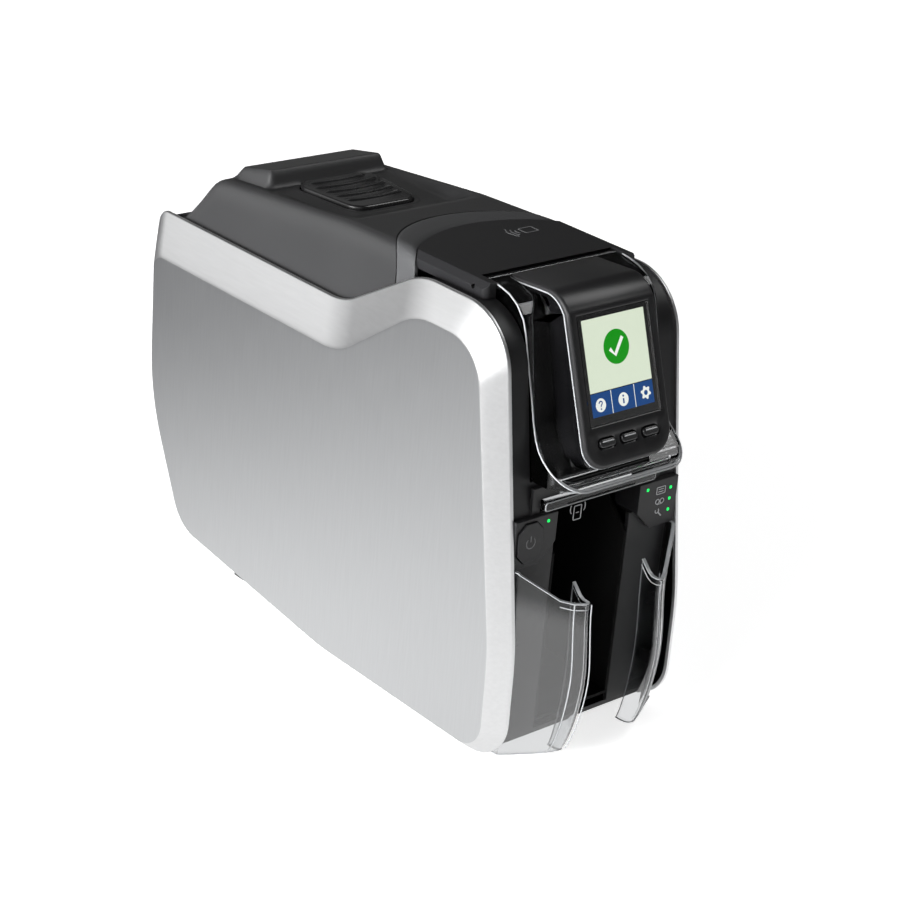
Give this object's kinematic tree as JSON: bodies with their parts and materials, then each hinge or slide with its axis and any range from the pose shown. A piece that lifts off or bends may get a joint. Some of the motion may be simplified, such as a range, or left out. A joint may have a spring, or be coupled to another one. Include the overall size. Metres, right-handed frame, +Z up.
{
  "type": "id card printer",
  "caption": "Desktop card printer with silver side panels, hinged black lid, tilted display door over the card hopper and clear output guards.",
  "frame": {"origin": "centre of the overall bounding box on the table plane", "axes": "+X to the right seen from the front, the front faces -Y, +Z up"},
  "size_m": [0.16, 0.4029, 0.2922],
  "materials": {
    "silver_panel": "metallic silver lacquer on plastic, brushed grey field",
    "plated_steel": "zinc plated",
    "black_case": "fine texture black",
    "grey_band": "satin dark grey",
    "black_rubber": "soft black rubber",
    "gloss_black": "polished black",
    "clear_shell": "clear polycarbonate",
    "screen_glass": "clear glass",
    "screen_light": "lit display, pale green and blue",
    "button_grey": "gloss dark keys",
    "green_light": "lit green light pipes",
    "white_gear": "natural acetal",
    "cassette_plastic": "moulded grey",
    "ribbon_film": "wound dye film",
    "sink_aluminium": "extruded",
    "head_ceramic": "glazed thermal strip",
    "board_green": "solder mask",
    "chip_black": "moulded black",
    "socket_metal": "nickel plated"
  },
  "bodies": {
    "printer": {"base_tray": "black_case", "board_chips": "chip_black", "card_deck": "black_case", "circuit_boards": "board_green", "cover_screws": "plated_steel", "data_sockets": "socket_metal", "drive_motor": "socket_metal", "front_housing": "black_case", "hinge_pins": "plated_steel", "input_hopper": "black_case", "latch_keepers": "cassette_plastic", "left_card_guard": "clear_shell", "left_frame_plate": "plated_steel", "left_front_block": "black_case", "left_side_panel": "silver_panel", "output_hopper": "black_case", "power_jack": "chip_black", "reader_cover": "black_case", "reader_skirt": "black_case", "rear_cover": "black_case", "ribbon_cassette": "cassette_plastic", "right_card_guard": "clear_shell", "right_frame_plate": "plated_steel", "right_front_block": "black_case", "right_side_panel": "silver_panel", "roller_bushings": "white_gear", "rubber_feet": "black_rubber", "slot_visor": "grey_band", "status_lights": "green_light"},
    "lid": {"lid_shell": "black_case", "lid_band": "grey_band", "head_bracket": "plated_steel", "head_heat_sink": "sink_aluminium", "print_head": "head_ceramic"},
    "release_pad": {"release_pad": "gloss_black"},
    "latch_bar": {"latch_bar": "cassette_plastic"},
    "hopper_door": {"door_frame": "gloss_black", "door_skirt": "clear_shell", "display_bezel": "gloss_black", "display_glass": "screen_glass", "lcd_screen": "screen_light"},
    "left_menu_button": {"left_menu_button": "button_grey"},
    "middle_menu_button": {"middle_menu_button": "button_grey"},
    "right_menu_button": {"right_menu_button": "button_grey"},
    "power_button": {"power_button": "gloss_black"},
    "feed_roller": {"feed_roller": "black_rubber", "feed_roller_gear": "white_gear"},
    "platen_roller": {"platen_roller": "black_rubber", "platen_roller_gear": "white_gear"},
    "exit_roller": {"exit_roller": "black_rubber", "exit_roller_gear": "white_gear"},
    "front_idler": {"front_idler_gear": "white_gear"},
    "rear_idler": {"rear_idler_gear": "white_gear"},
    "motor_pinion": {"motor_pinion": "socket_metal"},
    "take_up_spool": {"take_up_spool": "cassette_plastic", "take_up_ribbon_roll": "ribbon_film"},
    "supply_spool": {"supply_spool": "cassette_plastic", "supply_ribbon_roll": "ribbon_film"},
    "cleaning_roller": {"cleaning_roller": "black_rubber"},
    "card_weight": {"card_weight": "cassette_plastic"}
  },
  "joints": [
    {"name": "lid_hinge", "type": "hinge", "parent": "printer", "child": "lid", "pos_m": [0, 0.184, 0.235], "axis": [-1, 0, 0], "range_deg": [0, 80]},
    {"name": "pad_press", "type": "slide", "parent": "lid", "child": "release_pad", "axis": [0, 0, -1], "range_m": [0, 0.0025], "stiffness_N_per_m": 900},
    {"name": "latch_turn", "type": "hinge", "parent": "lid", "child": "latch_bar", "pos_m": [0, -0.004, 0.258], "axis": [1, 0, 0], "range_deg": [0, 12], "stiffness_Nm_per_rad": 0.12},
    {"name": "door_hinge", "type": "hinge", "parent": "printer", "child": "hopper_door", "pos_m": [0, -0.105, 0.2865], "axis": [-1, 0, 0], "range_deg": [0, 75]},
    {"name": "left_menu_press", "type": "slide", "parent": "hopper_door", "child": "left_menu_button", "axis": [0, 0.9437, -0.3308], "range_m": [0, 0.001], "stiffness_N_per_m": 1200},
    {"name": "middle_menu_press", "type": "slide", "parent": "hopper_door", "child": "middle_menu_button", "axis": [0, 0.9437, -0.3308], "range_m": [0, 0.001], "stiffness_N_per_m": 1200},
    {"name": "right_menu_press", "type": "slide", "parent": "hopper_door", "child": "right_menu_button", "axis": [0, 0.9437, -0.3308], "range_m": [0, 0.001], "stiffness_N_per_m": 1200},
    {"name": "power_press", "type": "slide", "parent": "printer", "child": "power_button", "axis": [0, 1, 0], "range_m": [0, 0.0012], "stiffness_N_per_m": 1200},
    {"name": "feed_turn", "type": "hinge", "parent": "printer", "child": "feed_roller", "pos_m": [0, -0.04, 0.163], "axis": [1, 0, 0], "continuous": true},
    {"name": "platen_turn", "type": "hinge", "parent": "printer", "child": "platen_roller", "pos_m": [0, 0.04, 0.163], "axis": [1, 0, 0], "continuous": true},
    {"name": "exit_turn", "type": "hinge", "parent": "printer", "child": "exit_roller", "pos_m": [0, 0.12, 0.163], "axis": [1, 0, 0], "continuous": true},
    {"name": "front_idler_turn", "type": "hinge", "parent": "printer", "child": "front_idler", "pos_m": [0, 0, 0.163], "axis": [1, 0, 0], "continuous": true},
    {"name": "rear_idler_turn", "type": "hinge", "parent": "printer", "child": "rear_idler", "pos_m": [0, 0.08, 0.163], "axis": [1, 0, 0], "continuous": true},
    {"name": "motor_turn", "type": "hinge", "parent": "printer", "child": "motor_pinion", "pos_m": [0, 0, 0.127], "axis": [1, 0, 0], "continuous": true},
    {"name": "take_up_turn", "type": "hinge", "parent": "printer", "child": "take_up_spool", "pos_m": [0, -0.018, 0.204], "axis": [1, 0, 0], "continuous": true},
    {"name": "supply_turn", "type": "hinge", "parent": "printer", "child": "supply_spool", "pos_m": [0, 0.096, 0.204], "axis": [1, 0, 0], "continuous": true},
    {"name": "cleaner_turn", "type": "hinge", "parent": "printer", "child": "cleaning_roller", "pos_m": [0, 0.004, 0.1784], "axis": [1, 0, 0], "continuous": true},
    {"name": "weight_swing", "type": "hinge", "parent": "printer", "child": "card_weight", "pos_m": [0, -0.08, 0.248], "axis": [-1, 0, 0], "range_deg": [0, 50]}
  ],
  "couplings": [
    {"joint": "platen_turn", "follows": "feed_turn", "ratio": 1},
    {"joint": "exit_turn", "follows": "feed_turn", "ratio": 1},
    {"joint": "front_idler_turn", "follows": "feed_turn", "ratio": -0.42857},
    {"joint": "rear_idler_turn", "follows": "feed_turn", "ratio": -0.42857},
    {"joint": "motor_turn", "follows": "feed_turn", "ratio": 1.5}
  ]
}
